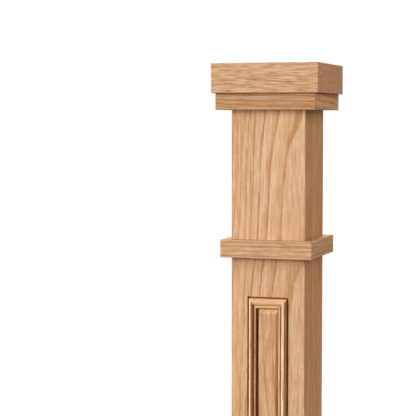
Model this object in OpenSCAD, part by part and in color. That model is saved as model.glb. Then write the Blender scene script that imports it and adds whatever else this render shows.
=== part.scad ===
// Box newel post for a staircase, in solid oak.
// Four boards, mitred at the corners, make a hollow square shaft. The front board has a recess
// with a raised panel, held by four mitred strips of moulding. Four mitred strips make a collar
// round the foot of the neck, four more make an apron under the cap, and a plank closes the top.
// Millimetres, Z up. The origin is the centre of the foot, and the panel faces -Y.

/* [Post] */
// Height of the whole post, floor to top
post_h = 1397; // [1000:1:1830]
// Width of the shaft across its faces
post_w = 119; // [96:0.5:200]
// Thickness of the shaft's boards
board_t = 18.2; // [14:0.1:28]
// Radius that eases the outer edges of every board and strip
edge_r = 1; // [0.4:0.1:2.5]

/* [Cap] */
// Thickness of the cap's plank
cap_t = 46; // [20:0.5:70]
// How far the plank reaches out past the apron
cap_lip = 5.5; // [2:0.5:25]
// Thickness of the apron's strips
apron_t = 20.6; // [10:0.1:40]
// Height of the apron's strips
apron_h = 26; // [14:0.5:60]

/* [Collar] */
// Length of the neck, from the apron down to the collar
neck_h = 203; // [100:1:300]
// Thickness of the collar's strips
collar_t = 14.4; // [8:0.1:30]
// Height of the collar's strips
collar_h = 28; // [14:0.5:60]

/* [Panel] */
// Distance from the collar down to the panel's opening
panel_drop = 61.5; // [20:0.5:120]
// Height of the opening's lower edge above the floor
panel_rise = 410; // [100:1:480]
// Width of the opening
panel_w = 66.4; // [58:0.2:80]
// Depth of the opening into the front board
panel_depth = 7; // [5:0.1:10]
// How far the panel's field stands out from the front board
field_rise = 0.2; // [0:0.1:4]
// How far the panel's bevels fall from the field to their foot
bevel_fall = 2.6; // [1:0.1:4.5]
// Width of the bevels along the panel's sides
bevel_side_w = 4.5; // [3:0.1:8]
// Width of the bevels across the panel's ends
bevel_end_w = 7.6; // [3:0.1:14]
// Gap round the panel between its bevels and the moulding
panel_gap = 0.4; // [0.2:0.1:1]

/* [Moulding] */
// Width of the moulding along the panel's sides
mould_side_w = 15.6; // [11:0.1:20]
// Width of the moulding across the panel's ends
mould_end_w = 18.8; // [12:0.1:24]
// How far the moulding's crest stands out from the front board
crest_rise = 4.8; // [3.5:0.1:9]
// Depth of the open quirk between the front board and the moulding
quirk_depth = 2.2; // [0.5:0.1:3]
// How far the moulding's narrow fillet stands out from the front board
fillet_rise = 2.8; // [1.4:0.1:3.2]
// How far the moulding's inner edge slopes down from the fillet
fillet_fall = 2; // [0.4:0.1:2.6]
// Depth of the fine groove between the moulding's crest and its fillet
groove_depth = 1.8; // [0.4:0.1:2]
// Thickness of the panel's tongue, which the moulding holds down
tongue_t = 2.4; // [1.5:0.1:3]

/* [Hidden] */

$fn = 48;
oak_board = [0.84, 0.66, 0.47];
oak_side = [0.80, 0.61, 0.42];
oak_cap = [0.81, 0.62, 0.42];
oak_strip = [0.78, 0.59, 0.39];
oak_mould = [0.86, 0.67, 0.48];
oak_panel = [0.83, 0.64, 0.45];

// Sides of the post, as quarter turns from the front
FRONT = 0;
RIGHT = 1;
BACK = 2;
LEFT = 3;

// Levels, from the top down
cap_z = post_h - cap_t;
apron_z = cap_z - apron_h;
collar_z = apron_z - neck_h - collar_h;
panel_top_z = collar_z - panel_drop;

hollow_w = post_w - 2 * board_t;
apron_w = post_w + 2 * apron_t;
cap_w = apron_w + 2 * cap_lip;
collar_w = post_w + 2 * collar_t;
panel_h = panel_top_z - panel_rise;
face_y = -post_w / 2;
groove_rise = fillet_rise - groove_depth;

// Length by which a cutting shape runs past what it cuts
past = 2;

// The moulding's profile, as shares of its width from the outer edge inwards
quirk_share = 0.1;
crest_share = 0.39;
groove_share = 0.75;
fillet_share = 0.8;
edge_share = 0.89;
tongue_share = 0.72;
// How full the slopes on both sides of the crest are: 1 is straight, 2 is a quarter of an ellipse
outer_power = 1.4;
inner_power = 1.25;
// Points along each of those slopes
slope_steps = 12;

// Play between the panel's tongue and the moulding that covers it
tongue_play = 0.6;

// A square with its corners rounded by true arcs
module eased_square(w, r) {
    square([w - 2 * r, w], center = true);
    square([w, w - 2 * r], center = true);
    for (x = [-1, 1], y = [-1, 1])
        translate([x * (w / 2 - r), y * (w / 2 - r)])
            circle(r);
}

// The front quarter of a square frame, cut by its two mitres
module mitred_quarter(outer_w, inner_w) {
    intersection() {
        difference() {
            eased_square(outer_w, edge_r);
            square(inner_w, center = true);
        }
        polygon([[0, 0], [outer_w, -outer_w], [-outer_w, -outer_w]]);
    }
}

module shaft_board(side) {
    rotate(90 * side)
        linear_extrude(cap_z)
            mitred_quarter(post_w, hollow_w);
}

// A strip's section: its back is on the Y axis, and its outer corners are rounded
module strip_section(t, h) {
    square([t - edge_r, h]);
    translate([0, edge_r])
        square([t, h - 2 * edge_r]);
    for (y = [edge_r, h - edge_r])
        translate([t - edge_r, y])
            circle(edge_r);
}

// A strip of a mitred band round the shaft
module band_strip(side, z, t, h) {
    outer_w = post_w + 2 * t;
    rotate(90 * side)
        translate([0, 0, z])
            intersection() {
                translate([0, 0, -past])
                    linear_extrude(h + 2 * past)
                        mitred_quarter(outer_w, post_w);
                mirror([0, 1, 0])
                    translate([-outer_w / 2 - past, post_w / 2, 0])
                        rotate([90, 0, 90])
                            linear_extrude(outer_w + 2 * past)
                                strip_section(t, h);
            }
}

module front_board() {
    color(oak_board)
        difference() {
            shaft_board(FRONT);
            translate([-panel_w / 2, face_y - past, panel_rise])
                cube([panel_w, panel_depth + past, panel_h]);
        }
}

module right_board() {
    color(oak_side) shaft_board(RIGHT);
}

module back_board() {
    color(oak_board) shaft_board(BACK);
}

module left_board() {
    color(oak_side) shaft_board(LEFT);
}

// A slab's section across, with all four corners rounded
module slab_section(w, h) {
    translate([-w / 2, 0]) {
        translate([edge_r, 0])
            square([w - 2 * edge_r, h]);
        translate([0, edge_r])
            square([w, h - 2 * edge_r]);
        for (x = [edge_r, w - edge_r], y = [edge_r, h - edge_r])
            translate([x, y])
                circle(edge_r);
    }
}

// The plank's section run along its length, turned about the post's axis
module slab_across(turn) {
    rotate(turn)
        translate([0, cap_w / 2 + past, 0])
            rotate([90, 0, 0])
                linear_extrude(cap_w + 2 * past)
                    slab_section(cap_w, cap_t);
}

module cap_plank() {
    color(oak_cap)
        translate([0, 0, cap_z])
            intersection() {
                translate([0, 0, -past])
                    linear_extrude(cap_t + 2 * past)
                        eased_square(cap_w, edge_r);
                slab_across(0);
                slab_across(90);
            }
}

module apron_front() {
    color(oak_strip) band_strip(FRONT, apron_z, apron_t, apron_h);
}

module apron_right() {
    color(oak_strip) band_strip(RIGHT, apron_z, apron_t, apron_h);
}

module apron_back() {
    color(oak_strip) band_strip(BACK, apron_z, apron_t, apron_h);
}

module apron_left() {
    color(oak_strip) band_strip(LEFT, apron_z, apron_t, apron_h);
}

module collar_front() {
    color(oak_strip) band_strip(FRONT, collar_z, collar_t, collar_h);
}

module collar_right() {
    color(oak_strip) band_strip(RIGHT, collar_z, collar_t, collar_h);
}

module collar_back() {
    color(oak_strip) band_strip(BACK, collar_z, collar_t, collar_h);
}

module collar_left() {
    color(oak_strip) band_strip(LEFT, collar_z, collar_t, collar_h);
}

// The moulding's section for a strip of width w. X runs inwards from the opening's edge, and
// Y is the height above the board's face: a quirk, a steep slope that rounds over at its crest,
// an ovolo down to a fine groove, a narrow fillet, a sloping edge, and a rebate underneath for
// the panel's tongue.
function mould_points(w) = concat(
    [
        [0, -panel_depth],
        [0, -quirk_depth]
    ],
    [for (i = [0 : slope_steps])
        let (a = 90 * i / slope_steps)
        [
            (crest_share - (crest_share - quirk_share) * pow(cos(a), 2 / outer_power)) * w,
            -quirk_depth + (crest_rise + quirk_depth) * pow(sin(a), 2 / outer_power)
        ]
    ],
    [for (i = [1 : slope_steps])
        let (a = 90 * i / slope_steps)
        [
            (crest_share + (groove_share - crest_share) * pow(sin(a), 2 / inner_power)) * w,
            groove_rise + (crest_rise - groove_rise) * pow(cos(a), 2 / inner_power)
        ]
    ],
    [
        [fillet_share * w, groove_rise],
        [fillet_share * w, fillet_rise],
        [edge_share * w, fillet_rise],
        [w, fillet_rise - fillet_fall],
        [w, tongue_t - panel_depth],
        [tongue_share * w, tongue_t - panel_depth],
        [tongue_share * w, -panel_depth]
    ]
);

// One strip of moulding, lying along the X axis with its outer edge on it. The section runs
// towards +Y and rises towards +Z, and the ends are mitred inwards by end_w.
module mould_strip(length, w, end_w) {
    intersection() {
        translate([-past, 0, 0])
            rotate([90, 0, 90])
                linear_extrude(length + 2 * past)
                    polygon(mould_points(w));
        translate([0, 0, -panel_depth - past])
            linear_extrude(panel_depth + crest_rise + 2 * past)
                polygon([
                    [-past * end_w / w, -past],
                    [length + past * end_w / w, -past],
                    [length - end_w * (1 + past / w), w + past],
                    [end_w * (1 + past / w), w + past]
                ]);
    }
}

// Stands a strip up in the opening, from the opening's corner at x, z, turned by angle
module in_opening(x, z, angle) {
    translate([x, face_y, z])
        rotate([90, 0, 0])
            rotate(angle)
                children();
}

module mould_bottom() {
    color(oak_mould)
        in_opening(-panel_w / 2, panel_rise, 0)
            mould_strip(panel_w, mould_end_w, mould_side_w);
}

module mould_right() {
    color(oak_mould)
        in_opening(panel_w / 2, panel_rise, 90)
            mould_strip(panel_h, mould_side_w, mould_end_w);
}

module mould_top() {
    color(oak_mould)
        in_opening(panel_w / 2, panel_top_z, 180)
            mould_strip(panel_w, mould_end_w, mould_side_w);
}

module mould_left() {
    color(oak_mould)
        in_opening(-panel_w / 2, panel_top_z, 270)
            mould_strip(panel_h, mould_side_w, mould_end_w);
}

// The panel's section across a stretch of the opening. X runs across, centred, and Y is the
// height above the board's face: the tongue, the foot of the bevels, and the field.
function panel_points(span, mould_w, bevel_w) =
    let (
        tongue_x = span / 2 - tongue_share * mould_w - tongue_play,
        foot_x = span / 2 - mould_w - panel_gap,
        field_x = foot_x - bevel_w,
        foot_y = field_rise - bevel_fall,
        tongue_y = tongue_t - panel_depth
    )
    [
        [-tongue_x, -panel_depth],
        [tongue_x, -panel_depth],
        [tongue_x, tongue_y],
        [foot_x, tongue_y],
        [foot_x, foot_y],
        [field_x, field_rise],
        [-field_x, field_rise],
        [-foot_x, foot_y],
        [-foot_x, tongue_y],
        [-tongue_x, tongue_y]
    ];

module raised_panel() {
    color(oak_panel)
        translate([0, face_y, (panel_rise + panel_top_z) / 2])
            intersection() {
                rotate([0, 0, 180])
                    translate([0, 0, -panel_h / 2])
                        linear_extrude(panel_h)
                            polygon(panel_points(panel_w, mould_side_w, bevel_side_w));
                rotate([90, 0, -90])
                    translate([0, 0, -panel_w / 2])
                        linear_extrude(panel_w)
                            rotate(-90)
                                polygon(panel_points(panel_h, mould_end_w, bevel_end_w));
            }
}

front_board();
right_board();
back_board();
left_board();
cap_plank();
apron_front();
apron_right();
apron_back();
apron_left();
collar_front();
collar_right();
collar_back();
collar_left();
raised_panel();
mould_top();
mould_bottom();
mould_left();
mould_right();
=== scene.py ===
import math
import bpy
from mathutils import Matrix, Vector


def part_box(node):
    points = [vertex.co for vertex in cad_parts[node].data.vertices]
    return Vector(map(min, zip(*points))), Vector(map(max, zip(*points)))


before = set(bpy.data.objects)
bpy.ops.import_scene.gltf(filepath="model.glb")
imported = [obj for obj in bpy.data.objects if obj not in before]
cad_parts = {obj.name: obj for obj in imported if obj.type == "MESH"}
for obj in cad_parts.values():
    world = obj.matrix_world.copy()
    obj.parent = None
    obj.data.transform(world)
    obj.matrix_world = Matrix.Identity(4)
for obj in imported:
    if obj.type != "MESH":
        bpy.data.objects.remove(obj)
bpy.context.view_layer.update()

MM = 0.001
UPWARDS, DOWNWARDS = 1, -1
X, Y, Z = Vector((1, 0, 0)), Vector((0, 1, 0)), Vector((0, 0, 1))


# ---- Node building ------------------------------------------------------------------------------

class Tree:
    """Builds shader nodes with short calls: an argument is a socket, a number or a vector."""

    def __init__(self, node_tree):
        self.nodes = node_tree.nodes
        self.links = node_tree.links

    def put(self, socket, value):
        if isinstance(value, bpy.types.NodeSocket):
            self.links.new(value, socket)
        else:
            socket.default_value = value

    def node(self, kind, inputs=(), **settings):
        made = self.nodes.new(kind)
        for key, value in settings.items():
            setattr(made, key, value)
        pairs = inputs.items() if isinstance(inputs, dict) else enumerate(inputs)
        for key, value in pairs:
            self.put(made.inputs[key], value)
        return made

    def calc(self, operation, *values, clamp=False):
        return self.node("ShaderNodeMath", values, operation=operation, use_clamp=clamp).outputs[0]

    def vector(self, operation, *values):
        made = self.node("ShaderNodeVectorMath", values, operation=operation)
        return made.outputs["Value" if operation in ("LENGTH", "DOT_PRODUCT") else "Vector"]

    def scale(self, value, factor):
        inputs = {"Vector": value, "Scale": factor}
        return self.node("ShaderNodeVectorMath", inputs, operation="SCALE").outputs["Vector"]

    def combine(self, x, y, z):
        return self.node("ShaderNodeCombineXYZ", (x, y, z)).outputs[0]

    def height(self, place):
        return self.node("ShaderNodeSeparateXYZ", (place,)).outputs["Z"]

    def noise(self, place, detail=2.0, roughness=0.5, output="Fac"):
        inputs = {"Vector": place, "Scale": 1.0, "Detail": detail, "Roughness": roughness}
        return self.node("ShaderNodeTexNoise", inputs, noise_dimensions="3D").outputs[output]

    def remap(self, value, low, high, to_low=0.0, to_high=1.0, smooth=False):
        inputs = {"Value": value, "From Min": low, "From Max": high, "To Min": to_low, "To Max": to_high}
        kind = "SMOOTHSTEP" if smooth else "LINEAR"
        return self.node("ShaderNodeMapRange", inputs, interpolation_type=kind).outputs[0]

    def mix(self, share, a, b, blend="MIX"):
        made = self.node("ShaderNodeMix", data_type="RGBA", blend_type=blend)
        self.put(made.inputs["Factor"], share)
        self.put(made.inputs["A"], a)
        self.put(made.inputs["B"], b)
        return next(s for s in made.outputs if s.type == "RGBA")

    def ramp(self, value, stops):
        made = self.node("ShaderNodeValToRGB", (value,))
        points = made.color_ramp.elements
        for i, (at, level) in enumerate(stops):
            point = points[i] if i < len(points) else points.new(at)
            point.position = at
            point.color = (level, level, level, 1.0)
        return made.outputs[0]


def rgba(red, green, blue):
    """A colour given as it looks, 0 to 255, in the linear values that nodes take."""
    def linear(c):
        c /= 255
        return c / 12.92 if c <= 0.04045 else ((c + 0.055) / 1.055) ** 2.4
    return (linear(red), linear(green), linear(blue), 1.0)


# ---- Oak ----------------------------------------------------------------------------------------

LATE_WOOD = rgba(231, 194, 157)
EARLY_WOOD = rgba(192, 131, 79)
PORE = rgba(150, 94, 54)
HONEY = rgba(222, 168, 118)
END_GRAIN = rgba(202, 154, 116)

# What painted shade at joints, on slopes and in quirks, and painted light on slopes multiply the wood by
PAINTED_JOINT_SHADE = (0.42, 0.27, 0.15, 1)
PAINTED_SLOPE_SHADE = (0.43, 0.25, 0.10, 1)
PAINTED_QUIRK_SHADE = (0.36, 0.14, 0.015)
PAINTED_SLOPE_LIGHT = (1.3, 1.4, 1.5, 1)

# How much steeper a slope is where its painted shade or light is full than where it starts
SLOPE_BLEND = 0.4
# How squarely a surface cuts the grain, from where it starts to look like end grain to where it is
END_FROM = 0.6
END_TO = 0.9

# How dark early wood is through one ring, from its inner side outwards, and in the finer lines
# between the rings
RING_STOPS = ((0.0, 0.0), (0.05, 0.8), (0.12, 1.0), (0.24, 0.55), (0.42, 0.2), (0.75, 0.04), (1.0, 0.0))
LINE_STOPS = ((0.0, 0.0), (0.08, 0.7), (0.3, 1.0), (0.6, 0.3), (1.0, 0.0))
LINES_A_RING = 3.0
WEAKEST_RING = 0.55

# The marks of the grain: the size of one across and along the grain in millimetres, and the detail
# and roughness of its noise
MARKS = {
    "sway": (110, 200, 2.0, 0.4),
    "ragged": (7, 90, 3.0, 0.6),
    "line": (2.7, 420, 1.0, 0.6),
    "hair": (1.0, 20, 3.0, 0.65),
    "fibre": (3.0, 42, 3.0, 0.65),
    "streak": (13, 260, 2.0, 0.5),
    "cloud": (45, 160, 2.0, 0.5),
    "blotch": (7, 20, 3.0, 0.7),
    "fleck": (1.4, 24, 2.0, 0.6),
    "mottle": (4.2, 4.2, 3.0, 0.7),
    "pore": (0.5, 9, 2.0, 0.6),
    "dash": (1.1, 13, 1.0, 0.5),
}
# How far seeds are apart in the noise, and uneven rings along it
SEED_STEP = 37.0
UNEVEN_STEP = 0.41
# How far the rings' edges are ragged, in rings
RAGGEDNESS = 0.22

# How much each mark darkens the wood
EARLY_SHADE = 0.72
HAIR_SHADE = 1.1
FIBRE_SHADE = 1.6
BLOTCH_SHADE = 0.6
# On end grain the early wood is weaker, the blotches are stronger, and a mottling joins them
END_EARLY = 0.7
END_BLOTCH_SHADE = 3.0
END_MOTTLE_SHADE = 12.0
# Before the first ring the early wood is weaker and the ground darker
YOUNG_EARLY = 0.7
YOUNG_SHADE = 0.2
# In aged wood the early wood is weaker and lines join it, over this many rings
AGED_EARLY = 0.45
AGED_LINES = 0.62
AGING = 1.4
# How much the early wood adds to the pores
EARLY_PORES = 0.10

# The most that each colour takes over from the wood's own
HONEY_SHARE = 0.35
PORE_SHARE = 0.5
DASH_SHARE = 0.45
END_SHARE = 0.4

SMOOTHEST = 0.36
ROUGHEST = 0.5
GLOSS = 0.18
# The grain's relief: what each mark adds to it, and the bump's strength and height
HAIR_RELIEF = 0.7
PORE_RELIEF = -1.0
EARLY_RELIEF = -0.25
BUMP_STRENGTH = 0.28
BUMP_HEIGHT = 0.25 * MM

# Where a piece was in the tree and how its grain is marked, with the values of plain flat-sawn
# stock. Lengths are in millimetres, and rings are counted outwards from the core.
CUT = {
    "Pith X": 0.0,       # the tree's middle, in the board's own space
    "Pith Y": 0.0,
    "Core": 0.0,         # distance from the pith at which the count of rings starts
    "Ring Width": 4.6,
    "Crowding": 0.0,     # how fast the rings crowd together outwards
    "Taper": 0.012,      # how much the rings close in for each millimetre up the tree
    "Uneven": 0.5,       # how much the widths of the rings differ
    "Wander": 5.0,       # how far the rings stray from true circles
    "Seed": 0.0,
    "Figure": 1.0,       # strength of the early wood
    "Finer": 0.34,       # strength of the finer lines between the rings
    "First": -1000.0,    # ring before which the wood is evenly dark
    "Aged": 1000.0,      # ring after which straight fine lines take over
    "Streaks": 1.0,      # strength of the hairs and fibres
    "Cloudy": 1.0,       # strength of the broad streaks
    "Flecks": 0.5,       # strength of the short flecks
    "Base": 0.2,         # shade of the plain wood
    "Tone": 1.0,         # brightness of the whole piece
}


def oak_group():
    """A node group that is red oak as a solid: rings about a pith, pores, fibres and flecks.

    Its Place input is in millimetres in the board's own space: X to the left as seen from outside
    with the grain upright, Y outwards, Z up the tree. End is 1 where the surface is end grain.
    """
    group = bpy.data.node_groups.new("red_oak", "ShaderNodeTree")
    face = group.interface
    face.new_socket("Place", in_out="INPUT", socket_type="NodeSocketVector")
    face.new_socket("End", in_out="INPUT", socket_type="NodeSocketFloat")
    for name, value in CUT.items():
        face.new_socket(name, in_out="INPUT", socket_type="NodeSocketFloat").default_value = value
    face.new_socket("Color", in_out="OUTPUT", socket_type="NodeSocketColor")
    face.new_socket("Roughness", in_out="OUTPUT", socket_type="NodeSocketFloat")
    face.new_socket("Height", in_out="OUTPUT", socket_type="NodeSocketFloat")

    t = Tree(group)
    given = t.node("NodeGroupInput").outputs
    place = given["Place"]
    end = given["End"]
    seed = t.calc("MULTIPLY", given["Seed"], SEED_STEP)
    shift = t.combine(seed, seed, seed)

    def mark(name, output="Fac"):
        """The noise of one mark, from 0 to 1."""
        across, along, detail, roughness = MARKS[name]
        scaled = t.vector("MULTIPLY", place, (1 / across, 1 / across, 1 / along))
        return t.noise(t.vector("ADD", scaled, shift), detail, roughness, output)

    def centred(value):
        return t.calc("SUBTRACT", value, 0.5)

    # Rings: the distance out from the core, which wanders and tapers up the tree. They crowd
    # together as the tree ages.
    sway = t.vector("SUBTRACT", mark("sway", output="Color"), (0.5, 0.5, 0.5))
    sway = t.scale(sway, t.calc("MULTIPLY", given["Wander"], 2.0))
    pith = t.combine(given["Pith X"], given["Pith Y"], 0.0)
    from_pith = t.vector("ADD", t.vector("SUBTRACT", place, pith), sway)
    radius = t.vector("LENGTH", t.vector("MULTIPLY", from_pith, (1, 1, 0)))
    radius = t.calc("MULTIPLY_ADD", t.height(place), given["Taper"], radius)
    grown = t.calc("SUBTRACT", radius, given["Core"])
    ring = t.calc("DIVIDE", grown, given["Ring Width"])
    ring = t.calc("MULTIPLY_ADD", t.calc("MULTIPLY", grown, grown), given["Crowding"], ring)
    ring = t.calc("MULTIPLY_ADD", centred(mark("ragged")), RAGGEDNESS, ring)
    along_rings = t.combine(t.calc("MULTIPLY_ADD", ring, UNEVEN_STEP, seed), 0.0, 0.0)
    uneven = centred(t.noise(along_rings, detail=0.0))
    ring = t.calc("MULTIPLY_ADD", uneven, given["Uneven"], ring)

    def band(ring, weakest, stops):
        """Early wood in each ring, as sharp on its inner side as stops say, and stronger in some."""
        early = t.ramp(t.calc("FRACT", ring), stops)
        number = t.combine(t.calc("FLOOR", ring), seed, 0.0)
        strength = t.node("ShaderNodeTexWhiteNoise", (number,), noise_dimensions="3D").outputs["Value"]
        return t.calc("MULTIPLY", early, t.remap(strength, 0, 1, weakest, 1.0))

    early = band(ring, WEAKEST_RING, RING_STOPS)
    finer = band(t.calc("MULTIPLY", ring, LINES_A_RING), 0.0, LINE_STOPS)
    early = t.calc("MULTIPLY_ADD", finer, given["Finer"], early)
    early = t.calc("MULTIPLY", early, given["Figure"])

    # The early wood changes with the age of the tree, and where the surface is end grain
    young = t.calc("LESS_THAN", ring, given["First"])
    early = t.calc("MULTIPLY", early, t.remap(young, 0, 1, 1.0, YOUNG_EARLY))
    early = t.calc("MULTIPLY_ADD", young, YOUNG_SHADE, early)
    aged = t.remap(t.calc("SUBTRACT", ring, given["Aged"]), 0.0, AGING, smooth=True)
    early = t.calc("MULTIPLY", early, t.remap(aged, 0, 1, 1.0, AGED_EARLY))
    line = t.remap(mark("line"), 0.44, 0.62, 0.0, AGED_LINES, smooth=True)
    early = t.calc("MULTIPLY_ADD", line, aged, early)
    early = t.calc("MULTIPLY", early, t.remap(end, 0, 1, 1.0, END_EARLY))

    # Pores are short dark dashes along the grain, and the finest are crowded in the early wood
    pore = t.calc("MULTIPLY_ADD", early, EARLY_PORES, mark("pore"))
    pore = t.remap(pore, 0.62, 0.74, smooth=True)
    dash = t.remap(mark("dash"), 0.70, 0.78, smooth=True)

    # Hairs and fibres along the grain, broad streaks, blotches and flecks
    hair = centred(mark("hair"))
    fibre = centred(mark("fibre"))
    streaks = t.calc("MULTIPLY", hair, HAIR_SHADE)
    streaks = t.calc("MULTIPLY_ADD", fibre, FIBRE_SHADE, streaks)
    streaks = t.calc("MULTIPLY", streaks, given["Streaks"])
    blotch_shade = t.remap(end, 0, 1, BLOTCH_SHADE, END_BLOTCH_SHADE)
    mottle_shade = t.remap(end, 0, 1, 0.0, END_MOTTLE_SHADE)
    shade = t.calc("MULTIPLY_ADD", early, EARLY_SHADE, streaks)
    shade = t.calc("MULTIPLY_ADD", centred(mark("streak")), given["Cloudy"], shade)
    shade = t.calc("MULTIPLY_ADD", centred(mark("blotch")), blotch_shade, shade)
    shade = t.calc("MULTIPLY_ADD", centred(mark("fleck")), given["Flecks"], shade)
    shade = t.calc("MULTIPLY_ADD", centred(mark("mottle")), mottle_shade, shade)
    shade = t.calc("ADD", shade, given["Base"], clamp=True)

    # The colour goes from late wood to early wood with the shade, and drifts slowly to honey
    colour = t.mix(shade, LATE_WOOD, EARLY_WOOD)
    colour = t.mix(t.remap(mark("cloud"), 0.45, 0.75, 0.0, HONEY_SHARE), colour, HONEY)
    colour = t.mix(t.calc("MULTIPLY", pore, PORE_SHARE), colour, PORE)
    colour = t.mix(t.calc("MULTIPLY", dash, DASH_SHARE), colour, PORE)
    colour = t.mix(t.calc("MULTIPLY", end, END_SHARE), colour, END_GRAIN)
    tone = t.combine(given["Tone"], given["Tone"], given["Tone"])
    colour = t.mix(1.0, colour, tone, blend="MULTIPLY")

    rough = t.remap(fibre, -0.25, 0.25, SMOOTHEST, ROUGHEST)
    relief = t.calc("MULTIPLY_ADD", pore, PORE_RELIEF, t.calc("MULTIPLY", hair, HAIR_RELIEF))
    relief = t.calc("MULTIPLY_ADD", early, EARLY_RELIEF, relief)
    out = t.node("NodeGroupOutput")
    t.put(out.inputs["Color"], colour)
    t.put(out.inputs["Roughness"], rough)
    t.put(out.inputs["Height"], relief)
    return group


def oak(name, group, outwards, grain, joints=(), quirk=(), slopes=(), gloss=GLOSS, **cut):
    """A material for one piece of timber: where it was cut from the tree is given in cut.

    Painted shade darkens it near joints, each given as its height, the way the corner opens, UPWARDS or
    DOWNWARDS, the millimetres it fades over, and its share; in a quirk, given as the millimetres
    outwards of its darkest level and of the first unshaded one; and painted shade or painted light
    tints slopes, each given as the way it faces, the steepness it starts at, its share, and the tint
    there.
    """
    material = bpy.data.materials.new(name)
    material.use_nodes = True
    t = Tree(material.node_tree)
    t.nodes.clear()
    coordinates = t.node("ShaderNodeTexCoord").outputs
    turn = Matrix((outwards.cross(grain), outwards, grain)).to_euler("XYZ")
    turned = {"Vector": coordinates["Object"], "Rotation": turn, "Scale": (1 / MM,) * 3}
    place = t.node("ShaderNodeMapping", turned, vector_type="POINT").outputs[0]
    end = t.vector("DOT_PRODUCT", coordinates["Normal"], grain)
    wood = t.node("ShaderNodeGroup", node_tree=group)
    t.put(wood.inputs["Place"], place)
    t.put(wood.inputs["End"], t.remap(t.calc("ABSOLUTE", end), END_FROM, END_TO))
    for key, value in cut.items():
        wood.inputs[key.replace("_", " ").title()].default_value = value

    colour = wood.outputs["Color"]
    height = t.height(coordinates["Object"])
    # Painted shade near each joint, fading with the distance from it
    for joint, way, fade, share in joints:
        gap = t.calc("MULTIPLY", t.calc("SUBTRACT", height, joint), way / MM)
        near = t.calc("EXPONENT", t.calc("MULTIPLY", t.calc("MAXIMUM", gap, 0.0), -1 / fade))
        near = t.calc("MULTIPLY", near, t.calc("GREATER_THAN", gap, -1.0))
        colour = t.mix(t.calc("MULTIPLY", near, share), colour, PAINTED_JOINT_SHADE, blend="MULTIPLY")
    # Painted shade or painted light on the slopes that face a given way
    for way, start, share, painted_tint in slopes:
        steepness = t.vector("DOT_PRODUCT", coordinates["Normal"], way)
        near = t.remap(steepness, start, start + SLOPE_BLEND, 0.0, share, smooth=True)
        colour = t.mix(near, colour, painted_tint, blend="MULTIPLY")
    # Painted shade in the quirk, darker the deeper it lies
    if quirk:
        level = t.calc("MULTIPLY", t.vector("DOT_PRODUCT", coordinates["Object"], outwards), 1 / MM)
        depth = t.remap(level, *quirk, 1.0, 0.0)
        clear = [t.calc("POWER", part, depth) for part in PAINTED_QUIRK_SHADE]
        colour = t.mix(1.0, colour, t.combine(*clear), blend="MULTIPLY")

    bump = t.node("ShaderNodeBump", {"Height": wood.outputs["Height"], "Strength": BUMP_STRENGTH,
                                     "Distance": BUMP_HEIGHT})
    shader = t.node("ShaderNodeBsdfPrincipled", {"Base Color": colour,
                                                 "Roughness": wood.outputs["Roughness"],
                                                 "Normal": bump.outputs[0],
                                                 "Specular IOR Level": gloss})
    t.put(t.node("ShaderNodeOutputMaterial").inputs["Surface"], shader.outputs[0])
    return material


# ---- Pieces -------------------------------------------------------------------------------------

# Each side's way along, counterclockwise from above, and its way out
SIDES = {"front": (X, -Y), "right": (Y, X), "back": (-X, Y), "left": (-Y, -X)}
FLANKS = ("right", "left")

BOARD_CUTS = {
    "front": dict(pith_x=-64.0, pith_y=-40.5, core=140.3, ring_width=13.6, crowding=0.00075,
                  taper=0.038, wander=8.0, uneven=0.0, figure=1.35, finer=0.22, first=1.0,
                  aged=3.1, cloudy=0.4, seed=6.0),
    "right": dict(pith_x=-120.0, pith_y=-30.0, core=80.0, ring_width=10.5, taper=0.004, wander=3.0,
                  figure=1.7, finer=0.5, cloudy=1.3, streaks=1.5, seed=2.0, base=0.2, tone=0.93),
    "back": dict(pith_x=-10.0, pith_y=-30.0, core=60.0, ring_width=4.2, taper=0.018, seed=3.0),
    "left": dict(pith_x=-110.0, pith_y=-20.0, core=60.0, ring_width=6.2, taper=0.008, wander=4.0,
                 figure=1.3, seed=4.0),
}

# The strips of the apron and of the collar: what all four share, what the front and the back have,
# and what the flanks have
APRON_CUTS = (
    dict(pith_x=1290.0, pith_y=20.0, core=40.0, streaks=0.8, flecks=1.0),
    dict(ring_width=5.2, taper=0.02, wander=7.0, figure=1.0, base=0.54, tone=0.87),
    dict(ring_width=7.0, taper=0.04, wander=9.0, figure=1.7, base=0.22, tone=0.96),
)
COLLAR_CUTS = (
    dict(pith_x=1040.0, pith_y=30.0, core=50.0, ring_width=5.6, taper=0.012, wander=8.0,
         streaks=0.9, flecks=0.9),
    dict(figure=1.2, base=0.26, tone=0.92),
    dict(figure=0.8, base=0.3, tone=0.87),
)
# Each strip's seed in the apron; the collar's are further on
STRIP_SEEDS = {"front": 21.2, "right": 22.4, "back": 20.8, "left": 21.8}
COLLAR_SEED = 10.0

CAP_CUT = dict(pith_x=1290.0, pith_y=10.0, core=80.0, ring_width=7.0, taper=0.02, wander=6.0,
               figure=0.5, streaks=0.6, cloudy=0.8, flecks=4.2, base=0.28, tone=0.9, seed=31.0)
PANEL_CUT = dict(pith_x=38.0, pith_y=-30.0, core=80.0, ring_width=6.0, taper=0.03, figure=0.6,
                 base=0.46, tone=0.96, seed=41.0)
# Painted light on the panel's bevels that face up and to the right
PANEL_PAINTED_LIGHT = ((Z, 0.0, 0.75, PAINTED_SLOPE_LIGHT), (X, 0.1, 0.5, PAINTED_SLOPE_LIGHT))
# Millimetres inwards from the board's face: where the painted shade on the panel is darkest and where it
# ends
PANEL_QUIRK_SHADE = (9.0, 1.9)

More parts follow.
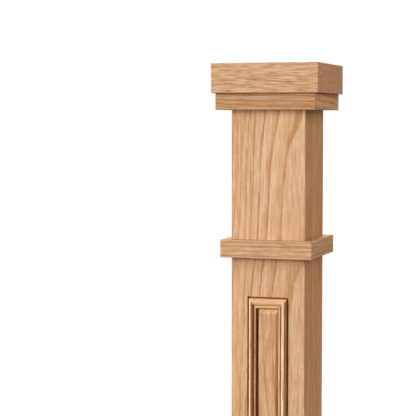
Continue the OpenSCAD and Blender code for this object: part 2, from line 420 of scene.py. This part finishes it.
# Each strip's grain, its way in towards the panel, the millimetres out from the board's face that
# the painted shade in its quirk reaches, the steepness at which painted shade on its inner slope
# starts, that shade's share, and its tone, which paints on each strip the light that falls there,
# brightest on the top one and darkest on the right
MOULDINGS = {"top": (X, -Z, 1.4, 0.35, 0.85, 1.24), "bottom": (X, Z, 1.6, 0.2, 0.3, 1.1),
             "left": (Z, X, 3.0, 0.2, 0.8, 1.05), "right": (Z, -X, 1.6, 0.2, 0.0, 0.92)}
MOULDING_CUT = dict(pith_x=-160.0, pith_y=0.0, core=100.0, ring_width=4.4, figure=0.9,
                    streaks=1.3, flecks=1.2)
# Millimetres inwards from the board's face where the painted shade in a strip's quirk is darkest
MOULDING_QUIRK_SHADE = 2.2
MOULDING_SEED = 51.0
MOULDING_GLOSS = 0.35


def make(node, group, outwards, grain, **settings):
    """Gives a CAD node its own piece of oak."""
    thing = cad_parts[node]
    thing.data.materials.clear()
    thing.data.materials.append(oak(node, group, outwards, grain, **settings))


group = oak_group()
cap_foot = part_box("cap_plank")[0][2]
apron_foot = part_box("apron_front")[0][2]
collar_foot, collar_top = (corner[2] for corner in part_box("collar_front"))
# Painted shade close under or over a strip, and a faint one far down below the collar
FRONT_JOINT_SHADE = ((collar_foot, DOWNWARDS, 10.0, 0.72), (collar_foot, DOWNWARDS, 250.0, 0.1))
FLANK_JOINT_SHADE = ((apron_foot, DOWNWARDS, 7.0, 0.4), (collar_foot, DOWNWARDS, 7.0, 0.35),
                (collar_foot, DOWNWARDS, 250.0, 0.13), (collar_top, UPWARDS, 3.0, 0.3))
APRON_JOINT_SHADE = ((cap_foot, DOWNWARDS, 5.0, 0.6),)
for side, (along, outwards) in SIDES.items():
    flank = side in FLANKS
    apron_cut = APRON_CUTS[0] | APRON_CUTS[2 if flank else 1]
    collar_cut = COLLAR_CUTS[0] | COLLAR_CUTS[2 if flank else 1]
    make(side + "_board", group, outwards, Z, joints=FLANK_JOINT_SHADE if flank else FRONT_JOINT_SHADE,
         **BOARD_CUTS[side])
    make("apron_" + side, group, outwards, along, joints=APRON_JOINT_SHADE, seed=STRIP_SEEDS[side],
         **apron_cut)
    make("collar_" + side, group, outwards, along, seed=COLLAR_SEED + STRIP_SEEDS[side],
         **collar_cut)
make("cap_plank", group, -Y, X, **CAP_CUT)
# How far out the front board's face is, in millimetres
board_face = -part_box("front_board")[0][1] / MM
make("raised_panel", group, -Y, Z, quirk=[board_face - inwards for inwards in PANEL_QUIRK_SHADE],
     slopes=PANEL_PAINTED_LIGHT, **PANEL_CUT)
for i, (place, (grain, inwards, clear, start, share, tone)) in enumerate(MOULDINGS.items()):
    make("mould_" + place, group, -Y, grain, quirk=(board_face - MOULDING_QUIRK_SHADE, board_face + clear),
         slopes=((inwards, start, share, PAINTED_SLOPE_SHADE),), gloss=MOULDING_GLOSS, tone=tone,
         seed=MOULDING_SEED + i, **MOULDING_CUT)


# ---- Stage --------------------------------------------------------------------------------------

CAMERA_LENS = 120.0
CAMERA_SENSOR = 36.0
CAMERA_PLACE = (0.5767, -2.1416, 1.3086)
CAMERA_YAW = math.radians(17.967)
CAMERA_PITCH = math.radians(-3.615)

# Each sun's azimuth, elevation, strength, spread and colour
SUNS = {"key": (-54, 8, 4.15, 24, (0.9, 0.955, 1.0)),
        "fill": (105, 30, 1.1, 50, (0.95, 0.82, 0.70)),
        "back": (200, 30, 1.1, 50, (1.0, 0.84, 0.645))}
SUN_DISTANCE = 5

WHITE = (1, 1, 1, 1)
LOW_LIGHT = (0.21, 0.175, 0.135, 1)
HIGH_LIGHT = (0.41, 0.345, 0.265, 1)
FLOOR_LIFT = (0.27, 0.36, 0.45, 1)
FLOOR_STEPS = 96
# Where the floor starts to turn into the backdrop and where it is all backdrop, in its radius
FADE_FROM = 0.25
FADE_TO = 0.95


def add_sun(name, azimuth, elevation, strength, spread, colour):
    """A sun that shines from that azimuth, counted from the front to the right, and elevation."""
    light = bpy.data.lights.new(name, "SUN")
    light.energy = strength
    light.angle = math.radians(spread)
    light.color = colour
    lamp = bpy.data.objects.new(name, light)
    bpy.context.scene.collection.objects.link(lamp)
    a, e = math.radians(azimuth), math.radians(elevation)
    way = Vector((math.sin(a) * math.cos(e), -math.cos(a) * math.cos(e), math.sin(e)))
    lamp.location = way * SUN_DISTANCE
    lamp.rotation_euler = (-lamp.location).to_track_quat("-Z", "Y").to_euler()


def add_floor(radius, pale, dim, lift):
    """A round pale floor, for the eye: what it throws back on the post is dim.

    To the eye it has a little glow of its own, lift, that evens out the warm tint of the light,
    and far out it turns into the white backdrop.
    """
    mesh = bpy.data.meshes.new("floor")
    turns = [2 * math.pi * i / FLOOR_STEPS for i in range(FLOOR_STEPS)]
    rim = [(radius * math.cos(turn), radius * math.sin(turn), 0) for turn in turns]
    mesh.from_pydata(rim, [], [tuple(range(FLOOR_STEPS))])
    floor = bpy.data.objects.new("floor", mesh)
    bpy.context.scene.collection.objects.link(floor)
    material = bpy.data.materials.new("floor")
    material.use_nodes = True
    t = Tree(material.node_tree)
    t.nodes.clear()
    seen = t.node("ShaderNodeLightPath").outputs["Is Camera Ray"]
    away = t.vector("LENGTH", t.node("ShaderNodeTexCoord").outputs["Object"])
    far = t.remap(away, FADE_FROM * radius, FADE_TO * radius, smooth=True)
    level = t.remap(seen, 0, 1, dim, pale)
    diffuse = t.node("ShaderNodeBsdfDiffuse", {"Color": t.combine(level, level, level)})
    glow = t.node("ShaderNodeEmission", {"Color": WHITE, "Strength": 1.0})
    own = t.node("ShaderNodeEmission", {"Color": lift, "Strength": seen})
    near = t.node("ShaderNodeAddShader", (diffuse.outputs[0], own.outputs[0]))
    surface = t.node("ShaderNodeMixShader", (t.calc("MULTIPLY", far, seen), near.outputs[0],
                                             glow.outputs[0]))
    t.put(t.node("ShaderNodeOutputMaterial").inputs["Surface"], surface.outputs[0])
    mesh.materials.append(material)


def set_world(low, high):
    """A white backdrop for the eye, and a soft warm light for everything else.

    The light is low from underneath and grows to high straight overhead.
    """
    world = bpy.data.worlds.new("studio")
    world.use_nodes = True
    t = Tree(world.node_tree)
    t.nodes.clear()
    seen = t.node("ShaderNodeLightPath").outputs["Is Camera Ray"]
    upwards = t.height(t.node("ShaderNodeTexCoord").outputs["Generated"])
    ambient = t.mix(t.remap(upwards, -1, 1), low, high)
    colour = t.mix(seen, ambient, WHITE)
    back = t.node("ShaderNodeBackground", {"Color": colour, "Strength": 1.0})
    t.put(t.node("ShaderNodeOutputWorld").inputs["Surface"], back.outputs[0])
    bpy.context.scene.world = world


def add_camera():
    data = bpy.data.cameras.new("camera")
    data.lens = CAMERA_LENS
    data.sensor_width = CAMERA_SENSOR
    camera = bpy.data.objects.new("camera", data)
    bpy.context.scene.collection.objects.link(camera)
    camera.location = CAMERA_PLACE
    camera.rotation_euler = (math.pi / 2 + CAMERA_PITCH, 0, CAMERA_YAW)
    bpy.context.scene.camera = camera


add_camera()
add_floor(radius=4.0, pale=0.66, dim=0.36, lift=FLOOR_LIFT)
set_world(LOW_LIGHT, HIGH_LIGHT)
for name, sun in SUNS.items():
    add_sun(name, *sun)
bpy.context.scene.view_settings.view_transform = "Standard"
